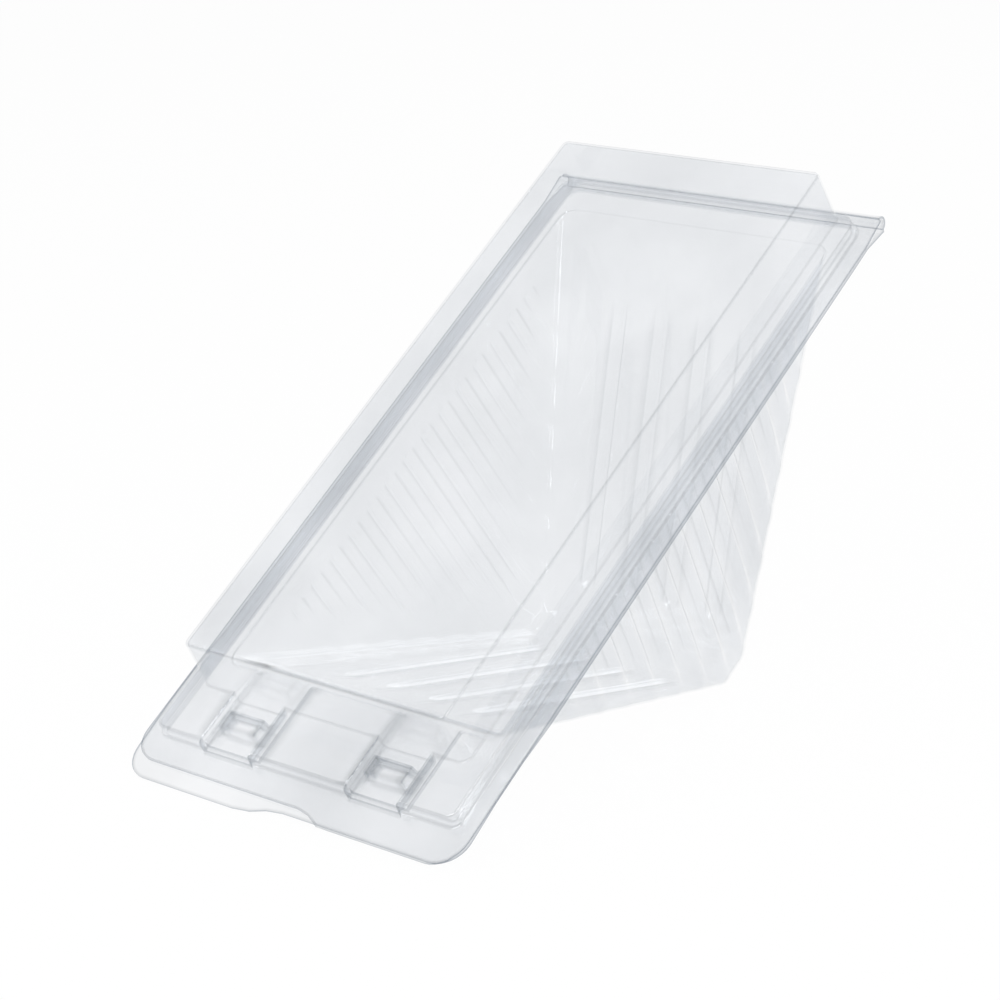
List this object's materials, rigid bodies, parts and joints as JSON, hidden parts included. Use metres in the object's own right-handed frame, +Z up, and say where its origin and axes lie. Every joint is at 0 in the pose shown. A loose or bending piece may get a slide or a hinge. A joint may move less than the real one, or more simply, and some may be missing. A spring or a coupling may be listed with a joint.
{
  "type": "sandwich wedge pack",
  "caption": "Clear hinged sandwich wedge pack: ribbed V-shaped tray, domed lid on a rolled hinge, finger tabs and snap studs at the lip.",
  "frame": {"origin": "on the surface that the pack stands on, below the middle of its bounding box", "axes": "+Z up, +Y from the opening lip to the hinge, +X across the pack to the right as seen from the lip"},
  "size_m": [0.09, 0.1548, 0.1156],
  "materials": {
    "tray_sheet": "clear, glossy thermoformed PET",
    "lid_sheet": "clear, glossy thermoformed PET"
  },
  "bodies": {
    "tray": {"tray": "tray_sheet"},
    "lid": {"lid": "lid_sheet"}
  },
  "joints": [
    {"name": "lid_hinge", "type": "hinge", "parent": "tray", "child": "lid", "pos_m": [0, 0.0772, 0.10417], "axis": [-1, 0, 0], "range_deg": [0, 180]}
  ]
}
